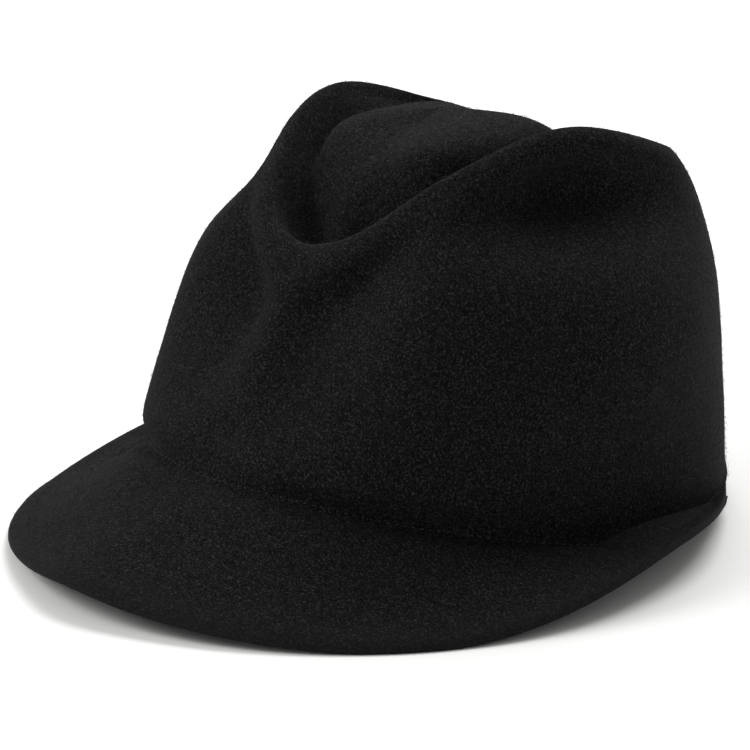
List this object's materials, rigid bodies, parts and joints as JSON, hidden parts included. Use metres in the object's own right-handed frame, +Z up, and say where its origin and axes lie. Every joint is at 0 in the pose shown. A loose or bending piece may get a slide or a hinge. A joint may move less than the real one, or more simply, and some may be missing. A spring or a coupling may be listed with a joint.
{
  "type": "felt hat",
  "caption": "One-piece blocked wool felt hat with a drooping front visor, a narrow turned edge at the back, a leaning front and a rolled V crease round a domed top; hollow and open below.",
  "frame": {"origin": "middle of the hat's length and width, on the surface that its brim rests on", "axes": "+Z up through the crown, -Y towards the visor, +X towards the wearer's left"},
  "size_m": [0.213, 0.2486, 0.127],
  "materials": {
    "wool_felt": "matt black wool felt, fulled nap with fine light fibres, raw cut edge"
  },
  "bodies": {
    "root": {"felt_cap": "wool_felt"}
  },
  "joints": []
}
